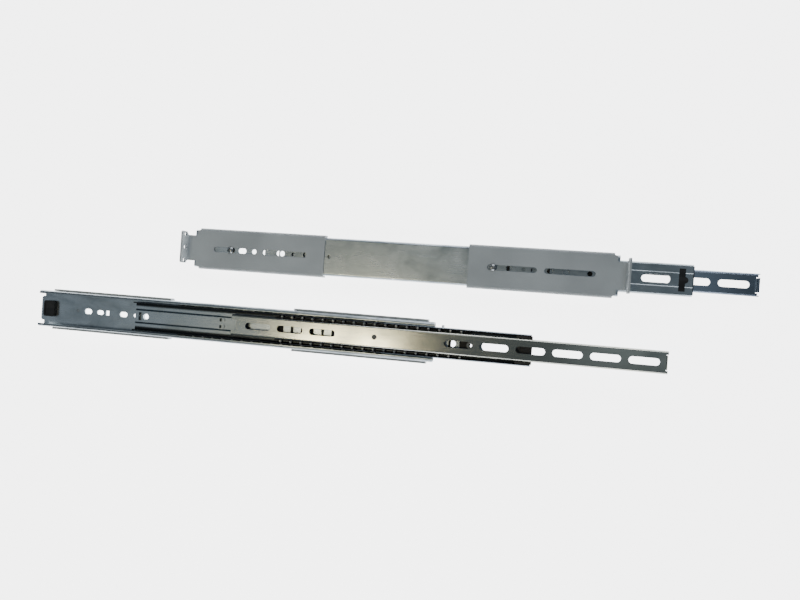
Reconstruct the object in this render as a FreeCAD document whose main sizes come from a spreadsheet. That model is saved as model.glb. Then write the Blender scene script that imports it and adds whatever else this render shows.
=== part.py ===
import FreeCAD, Part
import math
import os

# Pair of full-extension ball-bearing slides for a 19 inch rack, each with two slotted rack brackets.
#
# Rail frame, used by every piece: x runs along the slide from the rear end of its outer member,
# v runs across it from the centre line, and w is the depth, from the rack side (w = 0, the back of
# the outer web) to the chassis side (w = slide_depth).  The left rail lies with its chassis side
# up and stands on its bracket ears.  The right rail is the same article turned over.

os.makedirs("parts", exist_ok=True)

SIZES = [
    # name, value, what it is (millimetres, degrees or a count)
    ("rail_spacing", 90.0, "centre line to centre line of the two rails"),
    ("rail_stagger", 198.5, "how far the right rail lies ahead of the left one"),
    ("left_middle_out", 113.2, "left middle member, from closed"),
    ("left_inner_out", 131.6, "left inner member, from closed, relative to the middle one"),
    ("right_middle_out", 81.7, "right middle member, from closed"),
    ("right_inner_out", 56.0, "right inner member, from closed, relative to the middle one"),
    ("middle_travel", 224.0, "whole stroke of the middle member in the outer one"),
    ("inner_travel", 232.0, "whole stroke of the inner member in the middle one"),
    ("slide_depth", 12.7, "rack face to chassis face of the outer member"),
    ("outer_length", 508.0, "outer member"),
    ("outer_height", 46.0, "outer member, across its flanges"),
    ("outer_sheet", 1.5, "outer member's steel"),
    ("outer_bend", 1.5, "inside radius of the outer member's web corners"),
    ("outer_curl", 98.0, "turn of the outer lip round its balls"),
    ("tongue_length", 4.5, "outer web past the rear ends of the flanges"),
    ("tongue_half", 15.4, "half height of that tongue"),
    ("tongue_crop", 2.0, "crop of the tongue's corners"),
    ("middle_length", 486.0, "middle member"),
    ("middle_sheet", 1.2, "middle member's steel"),
    ("middle_web_back", 3.0, "depth of the middle web's rack face"),
    ("middle_bend", 1.4, "inside radius of the middle member's web corners"),
    ("middle_lip", 0.6, "straight edge above the middle member's raceway"),
    ("band_half", 7.8, "half height of the raised band along the middle web"),
    ("band_rise", 0.5, "how far the band stands up from the web"),
    ("band_bend", 1.2, "centre-line radius of the band's joggles"),
    ("inner_length", 498.0, "inner member"),
    ("inner_sheet", 1.2, "inner member's steel"),
    ("inner_recess", 0.3, "inner web below the outer lips"),
    ("inner_bend", 1.0, "inside radius of the inner member's web corners"),
    ("inner_set", 2.0, "centre-line radius of the set above the inner raceway"),
    ("inner_lean", 15.0, "lean of the inner flange into its raceway"),
    ("ball_diameter", 3.97, "5/32 inch balls, both rows"),
    ("ball_play", 0.1, "radial room of a ball in its raceway"),
    ("row_lean", 20.0, "slope of the line through the two ball rows of a flange"),
    ("raceway_grip", 25.0, "half arc that a raceway wraps round its balls"),
    ("ball_pitch", 12.6, "pitch of the ball pockets"),
    ("outer_ball_count", 20.0, "balls in one row of the outer cage"),
    ("inner_ball_count", 18.0, "balls in one row of the inner cage"),
    ("ball_sides", 6.0, "facets round a ball"),
    ("cage_sheet", 0.5, "strip of both ball cages"),
    ("cage_bend", 0.8, "centre-line radius of a cage's corners"),
    ("cage_end", 8.8, "outer cage, end to first ball"),
    ("inner_cage_end", 10.8, "inner cage, last ball to the front end"),
    ("inner_cage_rear", 7.8, "inner cage, rear end to first ball"),
    ("cage_inset", 1.0, "a cage's side strip, inside its ball row"),
    ("cage_reach", 2.7, "how far that strip reaches past its ball row"),
    ("cage_float", 0.3, "gap under a cage's web"),
    ("pocket_diameter", 3.9, "ball pocket in a cage"),
    ("window_half", 8.0, "half height of the windows in the cage webs"),
    ("window_bar", 3.2, "bar between two windows"),
    ("cage_stop", 2.5, "diameter of the two nibs that stop the outer cage"),
    ("lance_length", 3.0, "lanced stop behind the inner cage, along the slide"),
    ("lance_window", 3.6, "window punched behind each stop"),
    ("lance_low", 2.2, "centre line to the near side of a lanced stop"),
    ("lance_high", 6.0, "centre line to its far side"),
    ("lance_rise", 1.0, "height of a lanced stop above the band"),
    ("running_gap", 0.3, "end clearance between pieces that meet at a stop"),
    ("bumper_start", 2.2, "rear end of the outer member to the bumper"),
    ("bumper_side", 20.0, "rear bumper, across the slide"),
    ("bumper_length", 15.3, "rear bumper, along the slide"),
    ("bumper_rise", 5.0, "bumper above the outer web"),
    ("bumper_corner", 3.0, "bumper's corner radius"),
    ("bumper_rib_place", 1.6, "bumper's rear face to the rib on its top"),
    ("bumper_rib", 1.2, "width of that rib"),
    ("bumper_rib_rise", 0.7, "height of that rib"),
    ("guide_length", 17.0, "front guide on the middle member"),
    ("guide_bar", 6.5, "guide's clip bar, along the slide"),
    ("guide_bar_half", 12.5, "guide's clip bar, half its height"),
    ("guide_bar_start", 14.5, "front end of the middle member to the back of the clip bar"),
    ("guide_floor", 0.9, "guide's floor"),
    ("guide_nose_half", 3.6, "half height of the clip bar's round nose"),
    ("guide_nose", 3.2, "how far that nose reaches forward"),
    ("guide_outside", 0.75, "middle raceway to the guide's arm"),
    ("guide_inside", 0.6, "inner raceway to the guide's arm"),
    ("guide_rise", 1.4, "guide's arms past the outer ball row"),
    ("guide_proud", 1.2, "guide's arms past the front end of the middle member"),
    ("block_length", 5.0, "latch stop block, along the slide"),
    ("block_height", 6.0, "latch stop block, across the slide"),
    ("block_gap", 0.7, "stop block to the lever's plate"),
    ("bracket_sheet", 2.0, "rack bracket's steel"),
    ("bracket_fit", 0.3, "gap between a bracket's lips and the outer member"),
    ("bracket_bend", 1.5, "inside radius of the bracket's corners"),
    ("bracket_web", 164.6, "bracket's web, free end to ear end"),
    ("bracket_notch", 3.4, "how far the lips stop short of the web's ear end"),
    ("bracket_lip_top", 9.0, "depth that the bracket's lips reach"),
    ("bracket_reach", 177.0, "free end to the ear's rack face"),
    ("bracket_slot", 56.0, "each of the bracket's two slots, end to end"),
    ("bracket_slot_width", 6.5, "width of those slots"),
    ("bracket_slot_start", 22.0, "free end to the first slot"),
    ("bracket_slot_gap", 8.0, "land between the slots"),
    ("bracket_crop", 1.6, "corner crops of the bracket's web and ear"),
    ("bracket_relief", 3.0, "slit between the lips' ends and the web"),
    ("neck_half", 15.7, "half height of the bracket's neck"),
    ("ear_bend", 3.0, "inside radius of the bend between neck and ear"),
    ("ear_half", 19.4, "half height of the ear"),
    ("ear_depth", 18.0, "how far the ear stands out from the bracket's web"),
    ("ear_hole", 5.2, "rack screw hole"),
    ("ear_hole_pitch", 15.875, "hole spacing of a rack post"),
    ("ear_hole_inset", 8.0, "ear's free edge to the holes"),
    ("left_rear_bracket", 179.5, "free end of the left rail's rear bracket"),
    ("left_front_bracket", 339.0, "free end of the left rail's front bracket"),
    ("right_rear_bracket", 168.0, "free end of the right rail's rear bracket"),
    ("right_front_bracket", 340.5, "free end of the right rail's front bracket"),
    ("rear_screw_place", 48.0, "outer member's rear end to the rear bracket screw"),
    ("front_screw_place", 369.0, "outer member's rear end to the front bracket screw"),
    ("screw_diameter", 4.0, "bracket screw"),
    ("screw_head", 8.0, "bracket screw's button head"),
    ("screw_head_rise", 2.2, "height of that head"),
    ("screw_rim", 0.7, "straight edge of that head"),
    ("screw_short", 0.1, "screw's end below the outer web's chassis face"),
    ("screw_socket", 2.5, "hexagon socket, across its flats"),
    ("screw_socket_depth", 1.3, "depth of that socket"),
    ("screw_fit", 0.05, "radial room of screws, rivets and the latch pivot"),
    ("slot_length", 32.0, "inner member's slots, end to end"),
    ("slot_width", 7.8, "inner member's slots"),
    ("slot_pitch", 40.0, "pitch of those slots"),
    ("rear_slot_place", 34.0, "inner member's rear end to the first rear slot's centre"),
    ("rear_slot_count", 3.0, "slots behind the rivet"),
    ("front_slot_place", 273.5, "inner member's rear end to the first front slot's centre"),
    ("front_slot_count", 6.0, "slots ahead of the rivet"),
    ("end_notch_depth", 6.4, "notch in the inner member's rear end"),
    ("end_notch_half", 6.5, "half height of that notch"),
    ("end_tab_half", 7.8, "half height of the inner member's bent front tab"),
    ("end_tab_slit", 0.8, "slit on each side of that tab"),
    ("end_tab_drop", 5.0, "depth of that tab below the web"),
    ("pivot_place", 176.7, "inner member's rear end to the latch pivot"),
    ("rivet_diameter", 3.2, "shank of the latch pivot rivet"),
    ("rivet_head", 6.0, "both heads of that rivet"),
    ("rivet_sink", 0.8, "countersink of its flush head"),
    ("rivet_back", 0.7, "thickness of its other head"),
    ("lever_sheet", 1.4, "latch lever's plate"),
    ("lever_hub", 6.0, "radius of the lever's hub"),
    ("lever_tip", 4.4, "radius of the lever's finger end"),
    ("lever_reach", 110.7, "pivot to the middle of the finger end"),
    ("lever_blade", 62.0, "pivot to the front end of the straight blade"),
    ("blade_tip", 4.5, "radius of the blade's front end"),
    ("arm_width", 4.4, "width of the arm between blade and finger end"),
    ("arm_offset", 7.8, "centre line of the lever to the arm beside the slot"),
    ("arm_root", 57.0, "pivot to the root of that arm"),
    ("arm_bend", 6.0, "centre-line radius of the arm's two rear bends"),
    ("finger_bend", 4.0, "centre-line radius of the bend to the finger end"),
    ("lug_length", 4.0, "latch lug, along the slide"),
    ("lug_bite", 2.2, "height by which lug and stop block overlap"),
    ("lug_half", 3.2, "half height of the lug"),
    ("lug_gap", 1.0, "lug to the guide's floor"),
    ("tip_hole", 3.6, "hole in the lever's finger end"),
    ("tail_side", 2.5, "spring tail, off the lever's centre line"),
    ("tail_root", 0.8, "how far the tail is rooted in the hub"),
    ("tail_run", 5.0, "tail's straight part"),
    ("tail_bend", 30.0, "radius of the tail's curve"),
    ("tail_width", 1.2, "width of the tail"),
]

# Holes on the centre line of a web, as (name, place, length, width): round where length and width
# are equal, else a slot along the slide.  Places count from the member's rear end.
OUTER_HOLES = [
    ("bumper_pilot", 63.0, 10.0, 6.8),
    ("rear_pilot", 80.0, 9.0, 5.6),
    ("rear_oval", 112.5, 10.4, 6.4),
    ("rear_gauge", 128.5, 4.2, 4.2),
    ("rear_access", 144.5, 7.0, 7.0),
    ("web_gauge", 174.0, 5.0, 5.0),
    ("front_oval", 387.0, 7.4, 5.6),
    ("thread_rear", 403.5, 4.8, 4.8),
    ("thread_front", 414.0, 4.8, 4.8),
    ("post_oval_rear", 433.0, 7.0, 5.4),
    ("post_oval_front", 451.0, 7.4, 5.8),
    ("front_pilot", 476.5, 5.6, 5.6),
]
OUTER_SLIT = [("slit_rear", 88.0), ("slit_front", 92.3), ("slit_half", 2.9)]
MIDDLE_HOLES = [
    ("bumper_hole", 14.4, 7.2, 7.2),
    ("pilot_hole", 377.0, 6.4, 6.4),
    ("access_hole", 398.5, 7.0, 7.0),
    ("gauge_hole", 418.5, 5.0, 5.0),
    ("driver_slot", 447.0, 31.0, 9.8),
]
MIDDLE_WINDOW = [("window_rear", 4.4), ("window_front", 9.6), ("window_edge", 5.0)]

for name, place, length, width in OUTER_HOLES + MIDDLE_HOLES:
    SIZES.append((name + "_place", place, "rear end to the middle of " + name))
    SIZES.append((name + "_length", length, "length of " + name))
    SIZES.append((name + "_width", width, "width of " + name))
for name, value in OUTER_SLIT + MIDDLE_WINDOW:
    SIZES.append((name, value, "edge of a punched rectangle"))

doc = FreeCAD.newDocument("rack_slide_pair")
sheet = doc.addObject("Spreadsheet::Sheet", "Sizes")
for line, (alias, value, meaning) in enumerate(SIZES, start=1):
    sheet.set("A%d" % line, alias)
    sheet.set("B%d" % line, "%r" % value)
    sheet.setAlias("B%d" % line, alias)
    sheet.set("C%d" % line, meaning)
doc.recompute()


def size(alias):
    """Value of a named size."""
    return float(sheet.get(alias))


# ---------------------------------------------------------------- sizes that follow from the sheet

DEPTH = size("slide_depth")
BALL = size("ball_diameter") / 2
RACE = BALL + size("ball_play")

# Ball rows, as (v, w): the outer row sits in the curl of the outer lip, the inner row lies
# one middle wall further in, along the slope of row_lean.
OUTER_ROW = (
    size("outer_height") / 2 - size("outer_sheet") - RACE,
    DEPTH - size("outer_sheet") - RACE,
)
ROW_DISTANCE = 2 * RACE + size("middle_sheet")
LEAN = math.radians(size("row_lean"))
INNER_ROW = (
    OUTER_ROW[0] - ROW_DISTANCE * math.cos(LEAN),
    OUTER_ROW[1] - ROW_DISTANCE * math.sin(LEAN),
)

OUTER_CAGE = 2 * size("cage_end") + (size("outer_ball_count") - 1) * size("ball_pitch")
INNER_CAGE_ENDS = size("inner_cage_rear") + size("inner_cage_end")
INNER_CAGE = INNER_CAGE_ENDS + (size("inner_ball_count") - 1) * size("ball_pitch")
CLOSED_REAR = size("bumper_start") + size("bumper_length") + size("running_gap")
GUIDE_REAR = size("middle_length") - size("guide_length")

MIDDLE_WEB_TOP = size("middle_web_back") + size("middle_sheet")
BAND_TOP = MIDDLE_WEB_TOP + size("band_rise")
GUIDE_FLOOR_TOP = BAND_TOP + size("guide_floor")
INNER_WEB_TOP = DEPTH - size("inner_recess")
INNER_WEB_BACK = INNER_WEB_TOP - size("inner_sheet")
OUTER_CAGE_WEB = size("outer_sheet") + size("cage_float") + size("cage_sheet") / 2
INNER_CAGE_WEB = BAND_TOP + size("cage_float") + size("cage_sheet") / 2

# Each cage keeps half the speed of the member that rolls on it.  At full stroke the front of the
# outer cage stands at the outer member's front stops, and that of the inner cage at the guide.
STOP_NIB = size("cage_stop") / 2
STOP_PLACE = size("outer_length") - size("cage_stop")
OUTER_CAGE_CLOSED = (
    STOP_PLACE - STOP_NIB - size("running_gap") - size("middle_travel") / 2 - OUTER_CAGE
)
INNER_CAGE_CLOSED = GUIDE_REAR - size("running_gap") - size("inner_travel") / 2 - INNER_CAGE

LUG_FRONT = GUIDE_REAR - size("running_gap") - size("inner_travel")
LEVER_TOP = INNER_WEB_BACK - size("running_gap")
LEVER_BACK = LEVER_TOP - size("lever_sheet")
CUT_OVER = 0.2
PAD_OVERLAP = 1.0

EAR_TIP = size("bracket_sheet") + size("ear_depth")

# The latch's spring tail points rearwards and curves back under the lever, and its arm turns off
# the lever's centre line, in degrees.
TAIL_HEADING = 172
TAIL_SWEEP = 25
ARM_TURN = 45


# ---------------------------------------------------------------- roll-formed sections

def point(v, w):
    return FreeCAD.Vector(v, w, 0)


def walk(start, heading, moves, offset):
    """Edges beside a strip's centre line, offset to its left.  A move is a length, or a bend
    (centre-line radius, turn), with a positive turn to the left."""
    place = point(*start)
    angle = math.radians(heading)
    edges = []
    for move in moves:
        normal = point(-math.sin(angle), math.cos(angle))
        first = place + normal * offset
        if isinstance(move, tuple):
            radius, turn = move
            turn = math.radians(turn)
            side = math.copysign(1.0, turn)
            centre = place + normal * (side * radius)
            arm = place - centre
            half = spin(arm, turn / 2)
            arm = spin(arm, turn)
            scale = (radius - side * offset) / radius
            place = centre + arm
            angle += turn
            edges.append(Part.Arc(first, centre + half * scale, centre + arm * scale))
        else:
            step = point(math.cos(angle), math.sin(angle)) * move
            place = place + step
            edges.append(Part.LineSegment(first, first + step))
    return edges, place, math.degrees(angle)


def spin(arm, angle):
    """A vector turned to the left."""
    cosine = math.cos(angle)
    sine = math.sin(angle)
    return point(arm.x * cosine - arm.y * sine, arm.x * sine + arm.y * cosine)


def end_of(curve, last):
    return curve.EndPoint if last else curve.StartPoint


def strip_outline(start, heading, moves, thickness):
    """Closed outline of a strip of even thickness along a centre line of lines and bends."""
    left = walk(start, heading, moves, thickness / 2)[0]
    right = walk(start, heading, moves, -thickness / 2)[0]
    rear_cap = Part.LineSegment(end_of(right[0], False), end_of(left[0], False))
    front_cap = Part.LineSegment(end_of(left[-1], True), end_of(right[-1], True))
    return left + right + [rear_cap, front_cap]


def channel_outline(web_depth, half_moves, thickness):
    """Section of a channel, symmetric about its centre line, from the moves of its +v half."""
    end, heading = walk((0, web_depth), 0, half_moves, 0)[1:]
    back = list(reversed(half_moves))[:-1]
    moves = back + [2 * half_moves[0]] + half_moves[1:]
    return strip_outline((-end.x, end.y), -heading, moves, thickness)


def outer_section():
    """Flat web, square flanges and lips that curl round the outer balls."""
    thick = size("outer_sheet")
    corner = size("outer_bend") + thick / 2
    flange = size("outer_height") / 2 - thick / 2
    moves = [
        flange - corner,
        (corner, 90),
        OUTER_ROW[1] - thick / 2 - corner,
        (RACE + thick / 2, size("outer_curl")),
    ]
    return channel_outline(thick / 2, moves, thick)


def middle_section():
    """Web with a raised band, and S-shaped flanges: the lower curve holds the inner balls from
    outside and the upper one holds the outer balls from inside."""
    thick = size("middle_sheet")
    band_bend = size("band_bend")
    drop = size("band_rise")
    joggle = math.degrees(math.acos(1 - drop / (2 * band_bend)))
    joggle_run = 2 * band_bend * math.sin(math.radians(joggle))
    corner = size("middle_bend") + thick / 2
    race = RACE + thick / 2
    web = size("middle_web_back") + thick / 2
    flange = INNER_ROW[0] + race
    moves = [
        size("band_half") - joggle_run / 2,
        (band_bend, -joggle),
        (band_bend, joggle),
        flange - corner - size("band_half") - joggle_run / 2,
        (corner, 90),
        INNER_ROW[1] - web - corner,
        (race, size("row_lean")),
        (race, -size("row_lean") - size("raceway_grip")),
        size("middle_lip"),
    ]
    return channel_outline(web + drop, moves, thick)


def inner_section():
    """Web on the chassis side, flanges towards the rack side that hold the inner balls."""
    thick = size("inner_sheet")
    corner = size("inner_bend") + thick / 2
    race = RACE + thick / 2
    lean = size("inner_lean")
    sine = math.sin(math.radians(lean))
    cosine = math.cos(math.radians(lean))
    groove_top = INNER_ROW[1] + race * sine
    flange = INNER_ROW[0] - race * cosine + size("inner_set") * (1 - cosine)
    web = INNER_WEB_TOP - thick / 2
    moves = [
        flange - corner,
        (corner, -90),
        web - corner - groove_top - size("inner_set") * sine,
        (size("inner_set"), -lean),
        (race, lean + size("raceway_grip")),
    ]
    return channel_outline(web, moves, thick)


def cage_section(row, web):
    """Open strip that runs down one ball row, across under the web and up the other row."""
    corner = size("cage_bend")
    side = row[0] - size("cage_inset")
    top = row[1] + size("cage_reach")
    moves = [side - corner, (corner, 90), top - web - corner]
    return channel_outline(web, moves, size("cage_sheet"))


def bracket_section():
    thick = size("bracket_sheet")
    corner = size("bracket_bend") + thick / 2
    flange = size("outer_height") / 2 + size("bracket_fit") + thick / 2
    moves = [flange - corner, (corner, 90), size("bracket_lip_top") + thick / 2 - corner]
    return channel_outline(-thick / 2, moves, thick)


# ---------------------------------------------------------------- flat outlines

def polygon(points):
    corners = [point(*place) for place in points]
    return [Part.LineSegment(a, b) for a, b in zip(corners, corners[1:] + corners[:1])]


def rectangle(x_low, x_high, v_low, v_high):
    return polygon([(x_low, v_low), (x_high, v_low), (x_high, v_high), (x_low, v_high)])


def circle(x, v, diameter):
    return [Part.Circle(point(x, v), FreeCAD.Vector(0, 0, 1), diameter / 2)]


def strap(x_rear, rear_radius, x_front, front_radius):
    """Outline round two circles on the centre line, with its sides tangent to both."""
    slope = math.asin((rear_radius - front_radius) / (x_front - x_rear))
    sine = math.sin(slope)
    cosine = math.cos(slope)
    rear_up = point(x_rear + rear_radius * sine, rear_radius * cosine)
    rear_down = point(rear_up.x, -rear_up.y)
    front_up = point(x_front + front_radius * sine, front_radius * cosine)
    front_down = point(front_up.x, -front_up.y)
    return [
        Part.LineSegment(rear_up, front_up),
        Part.Arc(front_up, point(x_front + front_radius, 0), front_down),
        Part.LineSegment(front_down, rear_down),
        Part.Arc(rear_down, point(x_rear - rear_radius, 0), rear_up),
    ]


def slot(x_middle, length, width):
    """Round-ended slot on the centre line."""
    reach = (length - width) / 2
    return strap(x_middle - reach, width / 2, x_middle + reach, width / 2)


def punched(holes):
    """Outlines of a table of holes on the centre line."""
    outlines = []
    for name in [hole[0] for hole in holes]:
        place = size(name + "_place")
        run = size(name + "_length")
        width = size(name + "_width")
        outlines.append(circle(place, 0, width) if run == width else slot(place, run, width))
    return outlines


# ---------------------------------------------------------------- features

def new_body(label):
    body = doc.addObject("PartDesign::Body", label)
    body.Label = label
    return body


def draw(body, role, edges, offset=0.0):
    """Sketch on one of the body's own planes, moved along the plane's normal."""
    sketch = body.newObject("Sketcher::SketchObject", "Outline")
    plane = [item for item in body.Origin.OriginFeatures if item.Role == role][0]
    sketch.AttachmentSupport = [(plane, "")]
    sketch.MapMode = "FlatFace"
    sketch.AttachmentOffset = FreeCAD.Placement(FreeCAD.Vector(0, 0, offset), FreeCAD.Rotation())
    sketch.addGeometry(edges, False)
    return sketch


def pad(body, sketch, length, both_ways=False, down=False):
    """Pad by a length, or by an expression on the sheet."""
    feature = body.newObject("PartDesign::Pad", "Pad")
    feature.Profile = sketch
    feature.Midplane = both_ways
    feature.Reversed = down
    apply_length(feature, length)
    return feature


def pocket(body, sketch, length, both_ways=False):
    feature = body.newObject("PartDesign::Pocket", "Pocket")
    feature.Profile = sketch
    feature.Midplane = both_ways
    apply_length(feature, length)
    return feature


def apply_length(feature, length):
    if isinstance(length, str):
        feature.setExpression("Length", length)
    else:
        feature.Length = length


def repeat(body, feature, sketch, pitch, count):
    """Copies of a feature along x; pitch and count are named sizes."""
    pattern = body.newObject("PartDesign::LinearPattern", "Row")
    pattern.Originals = [feature]
    pattern.Direction = (sketch, ["H_Axis"])
    pattern.setExpression("Length", "Sizes.%s * (Sizes.%s - 1)" % (pitch, count))
    pattern.setExpression("Occurrences", "Sizes.%s" % count)
    body.Tip = pattern
    return pattern


def revolve(body, edges):
    """Round piece about the body's own w axis, from its half section."""
    sketch = draw(body, "XZ_Plane", edges)
    feature = body.newObject("PartDesign::Revolution", "Turned")
    feature.Profile = sketch
    feature.ReferenceAxis = (sketch, ["V_Axis"])
    feature.Angle = 360
    return feature


def web_cut(body, top, thickness, outlines):
    """Cut outlines through a web whose chassis face lies at the depth top."""
    edges = [edge for outline in outlines for edge in outline]
    sketch = draw(body, "XY_Plane", edges, top + CUT_OVER)
    return pocket(body, sketch, thickness + 2 * CUT_OVER), sketch


# ---------------------------------------------------------------- the pieces of one slide

def outer_member(label):
    body = new_body(label)
    thick = size("outer_sheet")
    pad(body, draw(body, "YZ_Plane", outer_section()), "Sizes.outer_length")
    holes = punched(OUTER_HOLES)
    for name in ("rear_screw_place", "front_screw_place"):
        holes.append(circle(size(name), 0, size("screw_diameter")))
    half = size("slit_half")
    holes.append(rectangle(size("slit_rear"), size("slit_front"), -half, half))
    web_cut(body, thick, thick, holes)
    # The web runs on past the rear ends of the flanges, as a tongue with cropped corners.
    rear = -size("tongue_length")
    half = size("tongue_half")
    crop = size("tongue_crop")
    upper = [(PAD_OVERLAP, half), (rear + crop, half), (rear, half - crop)]
    tongue = upper + [(x, -v) for x, v in reversed(upper)]
    pad(body, draw(body, "XY_Plane", polygon(tongue)), thick)
    # Two nibs on the web stop the ball cage at full stroke.
    nibs = []
    nib_side = (size("window_half") + OUTER_ROW[0] - size("cage_inset")) / 2
    for side in (-1, 1):
        nibs += circle(STOP_PLACE, side * nib_side, size("cage_stop"))
    rise = size("cage_float") + size("cage_sheet")
    pad(body, draw(body, "XY_Plane", nibs, thick), rise)
    return body


def middle_member(label):
    body = new_body(label)
    thick = size("middle_sheet")
    length = size("middle_length")
    pad(body, draw(body, "YZ_Plane", middle_section()), "Sizes.middle_length")
    bar_rear = length - size("guide_bar_start") - size("screw_fit")
    bar_front = bar_rear + size("guide_bar") + 2 * size("screw_fit")
    bar_half = size("guide_bar_half") + size("screw_fit")
    edge = size("window_edge")
    holes = punched(MIDDLE_HOLES)
    holes.append(rectangle(size("window_rear"), size("window_front"), -edge, edge))
    holes.append(guide_clip_outline(bar_rear, bar_front, bar_half, size("screw_fit")))
    # Two tabs lanced up out of the web stop the inner cage as the slide closes.
    stop_front = INNER_CAGE_CLOSED - size("running_gap")
    stop_rear = stop_front - size("lance_length")
    low = size("lance_low")
    high = size("lance_high")
    stops = []
    for near, far in ((low, high), (-high, -low)):
        holes.append(rectangle(stop_rear - size("lance_window"), stop_rear, near, far))
        stops += rectangle(stop_rear, stop_front, near, far)
    web_cut(body, BAND_TOP, thick + size("band_rise"), holes)
    pad(body, draw(body, "XY_Plane", stops, BAND_TOP), "Sizes.lance_rise")
    return body


def guide_clip_outline(rear, front, half, room):
    """Clip bar with a round nose in the middle of its front edge."""
    nose = size("guide_nose_half") + room
    depth = size("guide_nose") + room
    return [
        Part.LineSegment(point(front, -nose), point(front, -half)),
        Part.LineSegment(point(front, -half), point(rear, -half)),
        Part.LineSegment(point(rear, -half), point(rear, half)),
        Part.LineSegment(point(rear, half), point(front, half)),
        Part.LineSegment(point(front, half), point(front, nose)),
        Part.Arc(point(front, nose), point(front + depth, 0), point(front, -nose)),
    ]


def front_guide(label):
    """Black guide clipped to the front of the middle member: a floor over its web, an arm in
    each gap beside the inner member, a clip bar through the web and the latch's stop block."""
    body = new_body(label)
    rear = GUIDE_REAR
    member_front = size("middle_length")
    front = member_front + size("guide_proud")
    outside = INNER_ROW[0] + RACE - size("guide_outside")
    inside = INNER_ROW[0] - RACE + size("guide_inside")
    arm_top = OUTER_ROW[1] + size("guide_rise")
    floor = draw(body, "XY_Plane", rectangle(rear, front, -outside, outside), BAND_TOP)
    pad(body, floor, "Sizes.guide_floor")
    arms = rectangle(rear, front, inside, outside) + rectangle(rear, front, -outside, -inside)
    pad(body, draw(body, "XY_Plane", arms, BAND_TOP), arm_top - BAND_TOP)
    bar_rear = member_front - size("guide_bar_start")
    clip = guide_clip_outline(bar_rear, bar_rear + size("guide_bar"), size("guide_bar_half"), 0)
    pad(body, draw(body, "XY_Plane", clip, BAND_TOP), BAND_TOP - size("middle_web_back"), down=True)
    low = size("lug_half") - size("lug_bite")
    block = rectangle(rear, rear + size("block_length"), low, low + size("block_height"))
    block_rise = LEVER_BACK - size("block_gap") - GUIDE_FLOOR_TOP
    pad(body, draw(body, "XY_Plane", block, GUIDE_FLOOR_TOP), block_rise)
    return body


def inner_member(label):
    body = new_body(label)
    thick = size("inner_sheet")
    length = size("inner_length")
    tab_half = size("end_tab_half")
    bend = size("inner_bend")
    web_end = length - thick - bend
    section = draw(body, "YZ_Plane", inner_section())
    pad(body, section, "Sizes.inner_length")
    gap_half = tab_half + size("end_tab_slit")
    web_cut(body, INNER_WEB_TOP, thick, [rectangle(web_end, length + PAD_OVERLAP, -gap_half, gap_half)])
    # Bent front tab: a narrow tongue of the web, turned down towards the rack side.
    tongue = strip_outline(
        (web_end - PAD_OVERLAP, INNER_WEB_TOP - thick / 2), 0,
        [PAD_OVERLAP, (bend + thick / 2, -90), size("end_tab_drop")], thick,
    )
    pad(body, draw(body, "XZ_Plane", tongue), 2 * tab_half, both_ways=True)
    notch_half = size("end_notch_half")
    notch = rectangle(-PAD_OVERLAP, size("end_notch_depth"), -notch_half, notch_half)
    web_cut(body, INNER_WEB_TOP, thick, [notch])
    rivet_seat(body)
    for place, count in (("rear_slot_place", "rear_slot_count"), ("front_slot_place", "front_slot_count")):
        outline = slot(size(place), size("slot_length"), size("slot_width"))
        cut, sketch = web_cut(body, INNER_WEB_TOP, thick, [outline])
        repeat(body, cut, sketch, "slot_pitch", count)
    return body


def rivet_seat(body):
    """Countersunk hole for the latch pivot rivet."""
    hole = size("rivet_diameter") / 2 + size("screw_fit")
    head = size("rivet_head") / 2 + size("screw_fit")
    sink = INNER_WEB_TOP - size("rivet_sink")
    low = INNER_WEB_BACK - CUT_OVER
    high = INNER_WEB_TOP + CUT_OVER
    profile = [(0, high), (head, high), (head, INNER_WEB_TOP), (hole, sink), (hole, low), (0, low)]
    sketch = draw(body, "XZ_Plane", polygon(profile))
    sketch.AttachmentOffset = FreeCAD.Placement(
        FreeCAD.Vector(size("pivot_place"), 0, 0), FreeCAD.Rotation(),
    )
    feature = body.newObject("PartDesign::Groove", "Seat")
    feature.Profile = sketch
    feature.ReferenceAxis = (sketch, ["V_Axis"])
    feature.Angle = 360
    return feature


def ball_cage(label, length, section, web, row, end, count):
    """Strip cage with a pocket for each ball and a window between each two pairs of them; end is
    the distance from its rear end to the first ball."""
    body = new_body(label)
    pad(body, draw(body, "YZ_Plane", section), length)
    pockets = draw(body, "XZ_Plane", circle(end, row[1], size("pocket_diameter")))
    hole = pocket(body, pockets, 2 * size("outer_height"), both_ways=True)
    repeat(body, hole, pockets, "ball_pitch", count)
    half = size("window_half")
    run = size("ball_pitch") - size("window_bar")
    windows = []
    for index in range(int(size(count)) - 1):
        middle = end + (index + 0.5) * size("ball_pitch")
        windows.append(rectangle(middle - run / 2, middle + run / 2, -half, half))
    web_cut(body, web + size("cage_sheet") / 2, size("cage_sheet"), windows)
    return body


BALL_LATITUDES = (-68, -24, 24, 68)


def ball_solid(x, v, w):
    """Steel ball with flat facets, in three bands between two poles."""
    sides = int(size("ball_sides"))
    rings = []
    for latitude in BALL_LATITUDES:
        height = math.sin(math.radians(latitude))
        radius = math.cos(math.radians(latitude))
        ring = []
        for index in range(sides):
            angle = 2 * math.pi * (index + 0.5) / sides
            along = x + BALL * radius * math.cos(angle)
            across = v + BALL * radius * math.sin(angle)
            ring.append(FreeCAD.Vector(along, across, w + BALL * height))
        rings.append(ring)
    faces = [Part.Face(Part.makePolygon(ring + ring[:1])) for ring in (rings[0], rings[-1])]
    for low, high in zip(rings, rings[1:]):
        for index in range(sides):
            after = (index + 1) % sides
            corners = [low[index], low[after], high[after], high[index], low[index]]
            faces.append(Part.Face(Part.makePolygon(corners)))
    return Part.Solid(Part.makeShell(faces))


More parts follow.
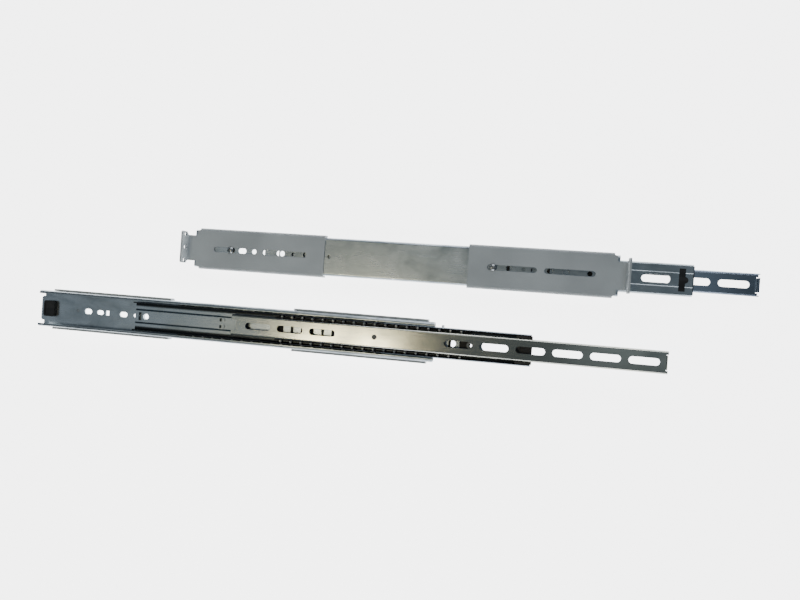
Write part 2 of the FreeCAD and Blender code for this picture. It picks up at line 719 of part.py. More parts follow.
def ball_rows(label, row, end, count):
    """Both rows of balls of one cage."""
    balls = []
    for side in (-1, 1):
        for index in range(int(size(count))):
            balls.append(ball_solid(end + index * size("ball_pitch"), side * row[0], row[1]))
    group = doc.addObject("Part::Feature", label)
    group.Label = label
    group.Shape = Part.makeCompound(balls)
    return group


def rear_bumper(label):
    body = new_body(label)
    side = size("bumper_side")
    start = size("bumper_start")
    corner = size("bumper_corner")
    straight = side - 2 * corner
    moves = [size("bumper_length") - 2 * corner, (corner, 90), straight, (corner, 90)] * 2
    outline = walk((start + corner, -side / 2), 0, moves, 0)[0]
    pad(body, draw(body, "XY_Plane", outline, size("outer_sheet")), "Sizes.bumper_rise")
    top = size("outer_sheet") + size("bumper_rise")
    rib_start = start + size("bumper_rib_place")
    rib = rectangle(rib_start, rib_start + size("bumper_rib"), -straight / 2, straight / 2)
    pad(body, draw(body, "XY_Plane", rib, top), "Sizes.bumper_rib_rise")
    return body


def bracket_screw(label):
    """Button-head screw from the rack side, through the bracket's slot into the outer web."""
    body = new_body(label)
    shank = size("screw_diameter") / 2 - size("screw_fit")
    head = size("screw_head") / 2
    seat = -size("bracket_sheet")
    crown = seat - size("screw_head_rise")
    rim = seat - size("screw_rim")
    end = size("outer_sheet") - size("screw_short")
    # The crown is part of a sphere through the middle of the head and its rim.
    dome = (head ** 2 + (rim - crown) ** 2) / (2 * (rim - crown))
    shoulder = point(head / 2, crown + dome - math.sqrt(dome ** 2 - head ** 2 / 4))
    profile = [
        Part.LineSegment(point(0, end), point(0, crown)),
        Part.Arc(point(0, crown), shoulder, point(head, rim)),
        Part.LineSegment(point(head, rim), point(head, seat)),
        Part.LineSegment(point(head, seat), point(shank, seat)),
        Part.LineSegment(point(shank, seat), point(shank, end)),
        Part.LineSegment(point(shank, end), point(0, end)),
    ]
    revolve(body, profile)
    corner = size("screw_socket") / math.sqrt(3)
    hexagon = []
    for index in range(6):
        angle = math.pi / 3 * index
        hexagon.append((corner * math.cos(angle), corner * math.sin(angle)))
    floor = crown + size("screw_socket_depth")
    pocket(body, draw(body, "XY_Plane", polygon(hexagon), floor), size("screw_socket_depth") + CUT_OVER)
    return body


def latch_rivet(label):
    """Pivot of the latch lever: a head flush with the chassis face and one behind the lever."""
    body = new_body(label)
    shank = size("rivet_diameter") / 2
    head = size("rivet_head") / 2
    back = LEVER_BACK - size("running_gap")
    base = back - size("rivet_back")
    profile = polygon([
        (0, INNER_WEB_TOP), (head, INNER_WEB_TOP), (shank, INNER_WEB_TOP - size("rivet_sink")),
        (shank, back), (head, back), (head, base), (0, base),
    ])
    revolve(body, profile)
    return body


def latch_lever(label):
    """Lever under the inner web: hub on the rivet, blade with a lug that meets the guide's stop
    block at full stroke, arm that runs beside the first front slot, finger end behind that slot
    and a curved spring tail."""
    body = new_body(label)
    reach = size("lever_reach")
    blade = strap(0, size("lever_hub"), size("lever_blade"), size("blade_tip"))
    pad(body, draw(body, "XY_Plane", blade, LEVER_BACK), "Sizes.lever_sheet")
    turn = math.radians(ARM_TURN)
    bend = size("arm_bend")
    finger_bend = size("finger_bend")
    offset = size("arm_offset")
    climb = (offset - 2 * bend * (1 - math.cos(turn))) / math.sin(turn)
    climb_run = 2 * bend * math.sin(turn) + climb * math.cos(turn)
    arm_run = reach - size("arm_root") - climb_run - finger_bend
    arm = [
        (bend, ARM_TURN), climb, (bend, -ARM_TURN), arm_run, (finger_bend, -90),
        offset - finger_bend,
    ]
    arm_outline = strip_outline((size("arm_root"), 0), 0, arm, size("arm_width"))
    pad(body, draw(body, "XY_Plane", arm_outline, LEVER_BACK), "Sizes.lever_sheet")
    finger = circle(reach, 0, 2 * size("lever_tip"))
    pad(body, draw(body, "XY_Plane", finger, LEVER_BACK), "Sizes.lever_sheet")
    lug_front = LUG_FRONT - size("pivot_place")
    half = size("lug_half")
    lug = rectangle(lug_front - size("lug_length"), lug_front, -half, half)
    lug_drop = LEVER_BACK - GUIDE_FLOOR_TOP - size("lug_gap")
    pad(body, draw(body, "XY_Plane", lug, LEVER_BACK), lug_drop, down=True)
    root = (size("tail_root") - size("lever_hub"), size("tail_side"))
    moves = [size("tail_run"), (size("tail_bend"), -TAIL_SWEEP)]
    tail = strip_outline(root, TAIL_HEADING, moves, size("tail_width"))
    pad(body, draw(body, "XY_Plane", tail, LEVER_BACK), "Sizes.lever_sheet")
    bore = size("rivet_diameter") + 2 * size("screw_fit")
    holes = [circle(0, 0, bore), circle(reach, 0, size("tip_hole"))]
    web_cut(body, LEVER_TOP, size("lever_sheet"), holes)
    return body


def rack_bracket(label):
    """Slotted channel bracket that hugs the outer member, with a necked ear for the rack post.
    x runs from its free end towards the ear."""
    body = new_body(label)
    thick = size("bracket_sheet")
    web = size("bracket_web")
    neck = size("neck_half")
    lips = web - size("bracket_notch")
    pad(body, draw(body, "YZ_Plane", bracket_section()), lips)
    # Web past the lips, then the neck and its bend, cut from the same strip.
    shoulder = size("outer_height") / 2
    root = shoulder - size("bracket_relief")
    crop = size("bracket_crop")
    neck_start = web + crop
    half_plate = [
        (lips - PAD_OVERLAP, root), (lips, root), (lips, shoulder), (web, shoulder - crop),
        (web, neck), (neck_start, neck),
    ]
    plate = [(x, -v) for x, v in half_plate] + list(reversed(half_plate))
    pad(body, draw(body, "XY_Plane", polygon(plate), -thick), "Sizes.bracket_sheet")
    bend = size("ear_bend") + thick / 2
    neck_run = size("bracket_reach") - neck_start - thick / 2 - bend
    ear_straight = size("ear_depth") + thick / 2 - bend
    fold = strip_outline(
        (neck_start, -thick / 2), 0, [neck_run, (bend, -90), ear_straight], thick,
    )
    pad(body, draw(body, "XZ_Plane", fold), 2 * neck, both_ways=True)
    # Ear outline with 45 degree shoulders, drilled for the rack post.
    ear = size("ear_half")
    top = -thick - size("ear_bend")
    tip = -EAR_TIP
    outline = polygon([
        (-neck, top), (-ear, top - (ear - neck)), (-ear, tip + crop), (-ear + crop, tip),
        (ear - crop, tip), (ear, tip + crop), (ear, top - (ear - neck)), (neck, top),
    ])
    face = size("bracket_reach") - thick
    pad(body, draw(body, "YZ_Plane", outline, face), "Sizes.bracket_sheet")
    holes = []
    for step in (-1, 0, 1):
        holes += circle(step * size("ear_hole_pitch"), tip + size("ear_hole_inset"), size("ear_hole"))
    drilled = draw(body, "YZ_Plane", holes, face + thick + CUT_OVER)
    pocket(body, drilled, thick + 2 * CUT_OVER)
    first = size("bracket_slot_start") + size("bracket_slot") / 2
    second = first + size("bracket_slot") + size("bracket_slot_gap")
    width = size("bracket_slot_width")
    slots = [slot(place, size("bracket_slot"), width) for place in (first, second)]
    web_cut(body, 0, thick, slots)
    return body


# ---------------------------------------------------------------- the two rails

def placed(x, v=0.0, turned=False):
    angle = 180 if turned else 0
    turn = FreeCAD.Rotation(FreeCAD.Vector(0, 0, 1), angle)
    return FreeCAD.Placement(FreeCAD.Vector(x, v, 0), turn)


def build_rail(name, rail_place):
    """All pieces of one rail, with their places in the rail frame."""
    middle_out = size(name + "_middle_out")
    inner_out = size(name + "_inner_out")
    middle_x = CLOSED_REAR + middle_out
    inner_x = middle_x + inner_out
    outer_cage_x = OUTER_CAGE_CLOSED + middle_out / 2
    inner_cage_x = middle_x + INNER_CAGE_CLOSED + inner_out / 2
    pivot_x = inner_x + size("pivot_place")
    outer_cage = cage_section(OUTER_ROW, OUTER_CAGE_WEB)
    inner_cage = cage_section(INNER_ROW, INNER_CAGE_WEB)
    pieces = [
        (outer_member(name + "_outer_member"), placed(0)),
        (rear_bumper(name + "_rear_bumper"), placed(0)),
        (rack_bracket(name + "_rear_bracket"), placed(size(name + "_rear_bracket"), turned=True)),
        (rack_bracket(name + "_front_bracket"), placed(size(name + "_front_bracket"))),
        (bracket_screw(name + "_rear_screw"), placed(size("rear_screw_place"))),
        (bracket_screw(name + "_front_screw"), placed(size("front_screw_place"))),
        (ball_cage(name + "_outer_cage", OUTER_CAGE, outer_cage, OUTER_CAGE_WEB, OUTER_ROW,
                   size("cage_end"), "outer_ball_count"), placed(outer_cage_x)),
        (ball_rows(name + "_outer_balls", OUTER_ROW, size("cage_end"), "outer_ball_count"),
         placed(outer_cage_x)),
        (middle_member(name + "_middle_member"), placed(middle_x)),
        (front_guide(name + "_front_guide"), placed(middle_x)),
        (ball_cage(name + "_inner_cage", INNER_CAGE, inner_cage, INNER_CAGE_WEB, INNER_ROW,
                   size("inner_cage_rear"), "inner_ball_count"), placed(inner_cage_x)),
        (ball_rows(name + "_inner_balls", INNER_ROW, size("inner_cage_rear"), "inner_ball_count"),
         placed(inner_cage_x)),
        (inner_member(name + "_inner_member"), placed(inner_x)),
        (latch_rivet(name + "_latch_rivet"), placed(pivot_x)),
        (latch_lever(name + "_latch_lever"), placed(pivot_x)),
    ]
    for piece, place in pieces:
        piece.Placement = rail_place.multiply(place)
    return [piece for piece, place in pieces]


# The pair's length, from the end of the left rail's rear tongue to the front of the inner member
# that reaches furthest, is centred on the origin, and the lowest edges lie at height 0.
LEFT_FRONT = CLOSED_REAR + size("left_middle_out") + size("left_inner_out") + size("inner_length")
RIGHT_FRONT = (
    size("rail_stagger") + CLOSED_REAR + size("right_middle_out") + size("right_inner_out")
    + size("inner_length")
)
LEFT_X = (size("tongue_length") - max(LEFT_FRONT, RIGHT_FRONT)) / 2
left_place = FreeCAD.Placement(
    FreeCAD.Vector(LEFT_X, -size("rail_spacing") / 2, EAR_TIP),
    FreeCAD.Rotation(),
)
right_place = FreeCAD.Placement(
    FreeCAD.Vector(LEFT_X + size("rail_stagger"), size("rail_spacing") / 2, DEPTH),
    FreeCAD.Rotation(FreeCAD.Vector(1, 0, 0), 180),
)
pieces = build_rail("left", left_place) + build_rail("right", right_place)
doc.recompute()

# ---------------------------------------------------------------- checks and export

for item in doc.Objects:
    if "Invalid" in item.State or "Error" in item.State:
        raise RuntimeError("%s did not build" % item.Label)
    if item.TypeId == "PartDesign::Pocket" and item.Shape.Volume >= item.BaseFeature.Shape.Volume:
        raise RuntimeError("%s in %s cuts nothing" % (item.Label, item.getParentGeoFeatureGroup().Label))

for piece in pieces:
    if piece.Shape.isNull() or not piece.Shape.isValid():
        raise RuntimeError("%s has no valid shape" % piece.Label)

for piece in pieces:
    piece.Shape.exportStep(os.path.join("parts", piece.Label + ".step"))
    box = piece.Shape.BoundBox
    print("%-22s %3d solids %9.1f mm3  x %7.1f..%7.1f  y %6.1f..%6.1f  z %5.1f..%5.1f" % (
        piece.Label, len(piece.Shape.Solids), piece.Shape.Volume,
        box.XMin, box.XMax, box.YMin, box.YMax, box.ZMin, box.ZMax))
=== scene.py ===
"""Looks of the sliding server rail pair: finishes, bearing balls, lights and camera.

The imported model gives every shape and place. This file dresses it: it gives each steel, plastic and
enamel its finish, swaps the faceted bearing balls for round ones, and builds the studio round them.
"""

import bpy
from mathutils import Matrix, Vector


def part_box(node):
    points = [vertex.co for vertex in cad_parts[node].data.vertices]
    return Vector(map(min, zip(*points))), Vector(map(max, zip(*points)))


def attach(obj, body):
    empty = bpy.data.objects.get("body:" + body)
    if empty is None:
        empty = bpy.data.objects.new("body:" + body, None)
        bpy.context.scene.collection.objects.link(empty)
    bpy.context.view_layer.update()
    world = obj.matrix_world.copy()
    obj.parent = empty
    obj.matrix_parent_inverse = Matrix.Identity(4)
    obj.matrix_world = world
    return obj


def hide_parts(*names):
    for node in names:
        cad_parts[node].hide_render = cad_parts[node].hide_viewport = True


bl_info = {
    "name": "Sliding Server Rail Pair",
    "version": (1, 0, 0),
    "blender": (4, 5, 0),
    "location": "3D View > Sidebar > Rail Pair",
    "description": "Finishes, bearing balls and studio for a pair of ball-bearing server rails",
    "category": "Object",
}

import math

import bpy
import numpy as np
from mathutils import Matrix, Vector

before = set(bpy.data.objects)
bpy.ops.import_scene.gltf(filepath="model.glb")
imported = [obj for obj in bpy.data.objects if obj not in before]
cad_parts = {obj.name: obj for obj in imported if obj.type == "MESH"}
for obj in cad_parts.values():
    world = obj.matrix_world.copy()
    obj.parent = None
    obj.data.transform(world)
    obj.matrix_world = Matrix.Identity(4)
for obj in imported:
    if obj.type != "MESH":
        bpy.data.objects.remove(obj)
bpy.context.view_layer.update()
SIDES = ("left", "right")
MM = 0.001

# The rails' centre lines run along x, this far to both sides of the object's own x axis.
RAIL_LOW, RAIL_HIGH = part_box("left_outer_member")
RAIL_LINE = 0.5 * abs(RAIL_LOW[1] + RAIL_HIGH[1])

# Balls of each cage of a rail, over both of its rows.
BALL_COUNTS = {"outer": 40, "inner": 36}

# Most of a noise pattern's values lie between these two.
PATTERN_LOW, PATTERN_HIGH = 0.3, 0.7

# Dark lines on a middle member: painted shade in the joggle crease of its raised band, and track
# grease deepened by painted shade in the inner raceway's gap; each with its place from the rail's
# centre line, half its width and its colour.
GREASE_AND_SHADE_LINES_MM = ((8.1, 1.5, "#3d4a55"), (14.9, 3.2, "#26292b"))
# The part of a line's half width that is fully dark; it fades out over the rest.
DARK_LINE_CORE = 0.4
# How far below zero chassis_side's product is on faces that count in full as chassis side.
CURL_FADE = 12.0 * MM

# Half the floor's side in metres and the strength of its glow, and the light from all round.
FLOOR_HALF = 30.0
FLOOR_GLOW = 4.5
AIR_COLOUR, AIR_STRENGTH = "#bccbd8", 0.22

# The camera's place and nearest clear distance in metres and its sensor width in millimetres. It
# looks straight down before it is turned by these angles, in degrees and in this order.
CAMERA_PLACE = (0.18140, 0.00717, 0.77431)
CAMERA_NEAR = 0.01
CAMERA_SENSOR = 36.0
CAMERA_TURNS = (("Y", 10.605), ("X", -0.544), ("Z", 4.286))


# ---------------------------------------------------------------- colours and nodes

def linear(code, alpha=1.0):
    """An sRGB hex code such as "#7f8688" as linear red, green, blue and alpha."""
    parts = [int(code[i:i + 2], 16) / 255.0 for i in (1, 3, 5)]
    return tuple(c / 12.92 if c <= 0.04045 else ((c + 0.055) / 1.055) ** 2.4 for c in parts) + (alpha,)


def add_node(tree, kind, inputs=None, stops=(), **settings):
    """Adds one node to a tree. Inputs are named or numbered, each with the socket that feeds it or a
    constant; stops are the places and colours of a colour ramp; settings are the node's properties."""
    node = tree.nodes.new(kind)
    for key, value in settings.items():
        setattr(node, key, value)
    if stops:
        while len(node.color_ramp.elements) < len(stops):
            node.color_ramp.elements.new(0.5)
        for element, (place, colour) in zip(node.color_ramp.elements, stops):
            element.position = place
            element.color = colour
    for key, value in (inputs or {}).items():
        if isinstance(value, bpy.types.NodeSocket):
            tree.links.new(value, node.inputs[key])
        else:
            node.inputs[key].default_value = value
    return node


def new_finish(name):
    """An empty node material: returns it, its tree and its shader."""
    finish = bpy.data.materials.new(name)
    finish.use_nodes = True
    tree = finish.node_tree
    tree.nodes.clear()
    shader = add_node(tree, "ShaderNodeBsdfPrincipled")
    add_node(tree, "ShaderNodeOutputMaterial", {"Surface": shader.outputs["BSDF"]})
    return finish, tree, shader


def grain(tree, size_mm, stretch=(1.0, 1.0, 1.0), detail=3.0, rough=0.5, distort=0.0):
    """Noise whose cells measure size_mm, longer along an axis where its stretch is above one."""
    place = add_node(tree, "ShaderNodeTexCoord")
    stretched = add_node(tree, "ShaderNodeMapping", {
        "Vector": place.outputs["Object"], "Scale": [1.0 / share for share in stretch]})
    noise = add_node(tree, "ShaderNodeTexNoise", {
        "Vector": stretched.outputs["Vector"], "Scale": 1.0 / (size_mm * MM), "Detail": detail,
        "Roughness": rough, "Distortion": distort})
    return noise.outputs["Fac"]


def two_tones(tree, shader, pattern, dark, light, smoother, rougher):
    """Drives a shader by one pattern: from low to high values its colour goes from the first hex
    colour to the second, and its roughness from smoother to rougher."""
    colour = add_node(tree, "ShaderNodeValToRGB", {"Fac": pattern},
                      stops=((PATTERN_LOW, linear(dark)), (PATTERN_HIGH, linear(light))))
    rough = add_node(tree, "ShaderNodeMapRange", {
        "Value": pattern, "From Min": PATTERN_LOW, "From Max": PATTERN_HIGH,
        "To Min": smoother, "To Max": rougher})
    tree.links.new(colour.outputs["Color"], shader.inputs["Base Color"])
    tree.links.new(rough.outputs["Result"], shader.inputs["Roughness"])


def line_beside_centre(tree, from_centre_mm, half_width_mm):
    """A value of one along two lines beside each rail's centre line, falling to zero on both sides.
    Folding y at the x axis, at the rail's centre line and at the line gives the way to the line."""
    place = add_node(tree, "ShaderNodeTexCoord")
    parts = add_node(tree, "ShaderNodeSeparateXYZ", {"Vector": place.outputs["Object"]})
    away = parts.outputs["Y"]
    for fold in (RAIL_LINE, from_centre_mm * MM):
        size = add_node(tree, "ShaderNodeMath", {0: away}, operation="ABSOLUTE")
        past = add_node(tree, "ShaderNodeMath", {0: size.outputs[0], 1: fold}, operation="SUBTRACT")
        away = past.outputs[0]
    size = add_node(tree, "ShaderNodeMath", {0: away}, operation="ABSOLUTE")
    fade = add_node(tree, "ShaderNodeMapRange", {
        "Value": size.outputs[0], "From Min": DARK_LINE_CORE * half_width_mm * MM,
        "From Max": half_width_mm * MM, "To Min": 1.0, "To Max": 0.0})
    return fade.outputs["Result"]


def chassis_side(tree):
    """One on faces that look to a rail's chassis side and zero on those that look to its rack side.
    The left rail, at minus y, lies with its chassis side up and the right one, at plus y, with its
    chassis side down, so y times the z part of a face's direction is below zero on chassis sides."""
    place = add_node(tree, "ShaderNodeTexCoord")
    side = add_node(tree, "ShaderNodeSeparateXYZ", {"Vector": place.outputs["Object"]})
    facing = add_node(tree, "ShaderNodeNewGeometry")
    height = add_node(tree, "ShaderNodeSeparateXYZ", {"Vector": facing.outputs["True Normal"]})
    both = add_node(tree, "ShaderNodeMath", {0: side.outputs["Y"], 1: height.outputs["Z"]},
                    operation="MULTIPLY")
    # A face square to the web gives zero and counts as rack side; the curled ones lie in between.
    fade = add_node(tree, "ShaderNodeMapRange", {
        "Value": both.outputs[0], "From Min": -CURL_FADE, "From Max": 0.0, "To Min": 1.0, "To Max": 0.0})
    return fade.outputs["Result"]


# ---------------------------------------------------------------- finishes

def zinc_plated_steel(name, dark, main, light, cloud_mm, roughness, greased_and_shaded=False, rack_tone=None):
    """Cold-rolled steel strip with clear-passivated zinc plating: soft blue-grey clouds where the
    plating bath left it thicker, and fine draw lines along the rail from the roll-forming. A greased
    one has dark lines on its chassis side: painted shade along the joggle of its raised band, and track
    grease with painted shade in the inner raceway. Where rack_tone is given, the rack side takes that
    flat bluer tone in place of the clouded plating."""
    finish, tree, shader = new_finish(name)
    cloud = grain(tree, cloud_mm, stretch=(1.6, 1.0, 1.0), detail=3.0, rough=0.55, distort=0.6)
    patch = grain(tree, cloud_mm * 0.28, stretch=(1.5, 1.0, 1.0), detail=2.0)
    # Draw lines are some 0.05 mm apart; they are drawn ten times coarser so that they show.
    lines = grain(tree, 0.5, stretch=(90.0, 1.0, 1.0), detail=2.0)
    clouds = add_node(tree, "ShaderNodeValToRGB", {"Fac": cloud},
                      stops=((0.30, linear(dark)), (0.50, tuple(main)), (0.72, linear(light))))
    spots = add_node(tree, "ShaderNodeMapRange", {
        "Value": patch, "From Min": PATTERN_LOW, "From Max": PATTERN_HIGH, "To Min": 0.0, "To Max": 0.35})
    plating = add_node(tree, "ShaderNodeMix", {
        0: spots.outputs["Result"], 6: clouds.outputs["Color"], 7: linear(light)}, data_type="RGBA")
    # Painted shade: dark lines on the chassis side, along the joggle crease and, with track grease, in the
    # deep raceway gap.
    if greased_and_shaded:
        facing = chassis_side(tree)
        for from_centre_mm, half_width_mm, grease in GREASE_AND_SHADE_LINES_MM:
            line = line_beside_centre(tree, from_centre_mm, half_width_mm)
            film = add_node(tree, "ShaderNodeMath", {0: line, 1: facing}, operation="MULTIPLY")
            plating = add_node(tree, "ShaderNodeMix", {
                0: film.outputs[0], 6: plating.outputs[2], 7: linear(grease)}, data_type="RGBA")
    # The rack side takes the flat rack_tone in place of the clouded plating.
    if rack_tone:
        plating = add_node(tree, "ShaderNodeMix", {
            0: chassis_side(tree), 6: linear(rack_tone), 7: plating.outputs[2]}, data_type="RGBA")
    cloudy = add_node(tree, "ShaderNodeMapRange", {
        "Value": cloud, "From Min": PATTERN_LOW, "From Max": PATTERN_HIGH,
        "To Min": roughness + 0.06, "To Max": roughness - 0.05})
    drawn = add_node(tree, "ShaderNodeMapRange", {
        "Value": lines, "From Min": PATTERN_LOW, "From Max": PATTERN_HIGH, "To Min": -0.03, "To Max": 0.05})
    rough = add_node(tree, "ShaderNodeMath", {0: cloudy.outputs["Result"], 1: drawn.outputs["Result"]},
                     operation="ADD")
    bump = add_node(tree, "ShaderNodeBump", {"Height": lines, "Distance": 0.0015 * MM, "Strength": 0.4})
    tree.links.new(plating.outputs[2], shader.inputs["Base Color"])
    tree.links.new(rough.outputs[0], shader.inputs["Roughness"])
    tree.links.new(bump.outputs["Normal"], shader.inputs["Normal"])
    shader.inputs["Metallic"].default_value = 1.0
    return finish


def rack_enamel(name, dark, main, light):
    """Grey polyester powder coat on the brackets: matt, with a faint orange-peel skin, a slow drift of
    tone over the web and small pale specks."""
    finish, tree, shader = new_finish(name)
    peel = grain(tree, 1.4, detail=2.0)
    drift = grain(tree, 60.0, detail=2.0)
    specks = grain(tree, 0.6, detail=1.0)
    base = add_node(tree, "ShaderNodeValToRGB", {"Fac": drift},
                    stops=((0.32, linear(dark)), (0.50, tuple(main)), (0.70, linear(light))))
    pale = add_node(tree, "ShaderNodeMapRange", {
        "Value": specks, "From Min": 0.55, "From Max": 0.75, "To Min": 0.0, "To Max": 0.10})
    coat = add_node(tree, "ShaderNodeMix", {
        0: pale.outputs["Result"], 6: base.outputs["Color"], 7: linear(light)}, data_type="RGBA")
    rough = add_node(tree, "ShaderNodeMapRange", {
        "Value": peel, "From Min": PATTERN_LOW, "From Max": PATTERN_HIGH, "To Min": 0.52, "To Max": 0.62})
    bump = add_node(tree, "ShaderNodeBump", {"Height": peel, "Distance": 0.03 * MM, "Strength": 0.35})
    tree.links.new(coat.outputs[2], shader.inputs["Base Color"])
    tree.links.new(rough.outputs["Result"], shader.inputs["Roughness"])
    tree.links.new(bump.outputs["Normal"], shader.inputs["Normal"])
    shader.inputs["IOR"].default_value = 1.5
    return finish


def black_acetal(name):
    """Moulded black acetal of the guides and bumpers: satin, with a fine spark-eroded texture."""
    finish, tree, shader = new_finish(name)
    spark = grain(tree, 0.35, detail=2.0)
    scuff = grain(tree, 6.0, stretch=(3.0, 1.0, 1.0), detail=3.0)
    two_tones(tree, shader, scuff, "#0b0b0c", "#1a1b1c", 0.36, 0.52)
    bump = add_node(tree, "ShaderNodeBump", {"Height": spark, "Distance": 0.02 * MM, "Strength": 0.3})
    tree.links.new(bump.outputs["Normal"], shader.inputs["Normal"])
    shader.inputs["IOR"].default_value = 1.48
    return finish


def cage_strip(name):
    """Thin phosphated steel strip of the ball cages: dark grey under a film of rail grease."""
    finish, tree, shader = new_finish(name)
    film = grain(tree, 5.0, stretch=(2.0, 1.0, 1.0), detail=3.0)
    two_tones(tree, shader, film, "#101213", "#232627", 0.40, 0.60)
    shader.inputs["Metallic"].default_value = 0.5
    return finish


def bearing_steel(name):
    """Polished chrome steel of the bearing balls, with a thin uneven film of grease."""
    finish, tree, shader = new_finish(name)
    film = grain(tree, 1.2, detail=2.0)
    two_tones(tree, shader, film, "#dcdedd", "#f4f4f2", 0.30, 0.45)
    shader.inputs["Metallic"].default_value = 1.0
    return finish


def screw_steel(name):
    """Zinc-plated screws: mottled grey and satin, worn by the driver."""
    finish, tree, shader = new_finish(name)
    worn = grain(tree, 1.6, detail=3.0)
    two_tones(tree, shader, worn, "#6f7476", "#a9adae", 0.22, 0.42)
    shader.inputs["Metallic"].default_value = 1.0
    return finish


def oiled_rivet(name):
    """Oiled steel of the latch pivot: a dull dark grey disc in the bright web."""
    finish, tree, shader = new_finish(name)
    film = grain(tree, 1.5, detail=2.0)
    two_tones(tree, shader, film, "#3c4041", "#5a5e5f", 0.40, 0.55)
    shader.inputs["Metallic"].default_value = 0.6
    return finish


def blackened_steel(name):
    """Blackened spring steel of the latch levers: dark blue-grey, satin."""
    finish, tree, shader = new_finish(name)
    film = grain(tree, 8.0, stretch=(2.0, 1.0, 1.0), detail=3.0)
    two_tones(tree, shader, film, "#3a3e40", "#5c6062", 0.30, 0.46)
    shader.inputs["Metallic"].default_value = 1.0
    return finish


def white_table(name):
    """Matt white table top under even light: it glows, so the ground stays pale and free of shadows."""
    finish, tree, shader = new_finish(name)
    cast = grain(tree, 400.0, detail=1.0)
    colour = add_node(tree, "ShaderNodeValToRGB", {"Fac": cast},
                      stops=((PATTERN_LOW, linear("#f4f4f3")), (PATTERN_HIGH, linear("#fafafa"))))
    tree.links.new(colour.outputs["Color"], shader.inputs["Base Color"])
    shader.inputs["Roughness"].default_value = 0.9
    shader.inputs["Emission Color"].default_value = linear("#ffffff")
    shader.inputs["Emission Strength"].default_value = FLOOR_GLOW
    return finish


# ---------------------------------------------------------------- settings

class RailFinishSettings(bpy.types.PropertyGroup):
    """Main colours of the finishes."""

    enamel: bpy.props.FloatVectorProperty(
        name="Bracket enamel", description="Powder coat of the rack brackets", subtype="COLOR",
        size=4, min=0.0, max=1.0, default=linear("#949b9e"))
    outer_zinc: bpy.props.FloatVectorProperty(
        name="Outer zinc", description="Zinc plating of the outer members", subtype="COLOR",
        size=4, min=0.0, max=1.0, default=linear("#969fa4"))
    middle_zinc: bpy.props.FloatVectorProperty(
        name="Middle zinc", description="Zinc plating of the middle members", subtype="COLOR",
        size=4, min=0.0, max=1.0, default=linear("#98a1a5"))
    inner_zinc: bpy.props.FloatVectorProperty(
        name="Inner zinc", description="Zinc plating of the inner members", subtype="COLOR",
        size=4, min=0.0, max=1.0, default=linear("#a5a89e"))


class RailBallSettings(bpy.types.PropertyGroup):
    """Sizes of the bearing balls."""

    diameter: bpy.props.FloatProperty(
        name="Ball diameter", description="Bearing balls of both rows", default=3.97 * MM,
        min=0.001, max=0.01, unit="LENGTH", precision=5)
    around: bpy.props.IntProperty(
        name="Facets around", description="Facets round a ball's equator", default=10, min=6, max=24)
    rings: bpy.props.IntProperty(
        name="Rings", description="Rings from pole to pole", default=6, min=4, max=16)


class RailStudioSettings(bpy.types.PropertyGroup):
    """Camera and lights."""

    focal_length: bpy.props.FloatProperty(
        name="Focal length", description="Camera lens in millimetres", default=29.7, min=10.0, max=200.0)
    key_power: bpy.props.FloatProperty(
        name="Key light", description="Power of the soft light over the rails", default=3.3,
        min=0.0, unit="POWER")


# ---------------------------------------------------------------- pieces

def ball_centres(node, count, radius):
    """Centres of the balls of a packed ball group. They lie in two straight rows, so the group's
    points are split by their side of its middle line, and each row's sorted x values are cut at the
    gaps between balls. A centre is the middle of its ball's box."""
    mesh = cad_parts[node].data
    points = np.empty(len(mesh.vertices) * 3)
    mesh.vertices.foreach_get("co", points)
    points = points.reshape(-1, 3)
    middle = 0.5 * (points[:, 1].min() + points[:, 1].max())
    found = []
    for row in (points[points[:, 1] < middle], points[points[:, 1] >= middle]):
        order = np.sort(row[:, 0])
        cuts = np.nonzero(np.diff(order) > radius)[0]
        starts = np.concatenate([[order[0]], order[cuts + 1]])
        ends = np.concatenate([order[cuts], [order[-1]]])
        x = 0.5 * (starts + ends)
        y = 0.5 * (row[:, 1].min() + row[:, 1].max())
        z = 0.5 * (row[:, 2].min() + row[:, 2].max())
        found.append(np.stack([x, np.full_like(x, y), np.full_like(x, z)], -1))
    centres = np.vstack(found)
    if len(centres) != count:
        raise ValueError(f"{node}: {len(centres)} balls found, {count} expected")
    return centres


def sphere_grid(centres, radius, around, rings):
    """Balls as one mesh: latitude runs from pole to pole and longitude once round, and each point is
    the centre plus the radius times the direction of that latitude and longitude."""
    latitude = np.linspace(-0.5 * np.pi, 0.5 * np.pi, rings + 1)[1:-1]
    longitude = np.linspace(0.0, 2.0 * np.pi, around, endpoint=False)
    lat, lon = np.meshgrid(latitude, longitude, indexing="ij")
    shell = np.stack([np.cos(lat) * np.cos(lon), np.cos(lat) * np.sin(lon), np.sin(lat)], -1)
    poles = [[0.0, 0.0, -1.0], [0.0, 0.0, 1.0]]
    shell = np.vstack([shell.reshape(-1, 3), poles]) * radius
    ring, here = np.meshgrid(np.arange(rings - 2), np.arange(around), indexing="ij")
    there = (here + 1) % around
    low, high = ring * around, (ring + 1) * around
    quads = np.stack([low + here, low + there, high + there, high + here], -1)
    here, there = here[0], there[0]
    south = np.full(around, len(shell) - 2)
    north = np.full(around, len(shell) - 1)
    top = (rings - 2) * around
    fans = np.vstack([np.stack([there, here, south], -1), np.stack([top + here, top + there, north], -1)])
    step = (np.arange(len(centres)) * len(shell))[:, None, None]
    points = (centres[:, None, :] + shell[None]).reshape(-1, 3)
    quads = (quads.reshape(1, -1, 4) + step).reshape(-1, 4)
    fans = (fans[None] + step).reshape(-1, 3)
    return points, quads.tolist() + fans.tolist()


def new_piece(name, points, faces, finish, smooth=True):
    """A mesh object at the origin with its place in its mesh."""
    mesh = bpy.data.meshes.new(name)
    mesh.from_pydata(points.tolist(), [], faces)
    mesh.update()
    if smooth:
        mesh.polygons.foreach_set("use_smooth", np.ones(len(mesh.polygons), dtype=bool))
    mesh.materials.append(finish)
    piece = bpy.data.objects.new(name, mesh)
    bpy.context.scene.collection.objects.link(piece)
    return piece


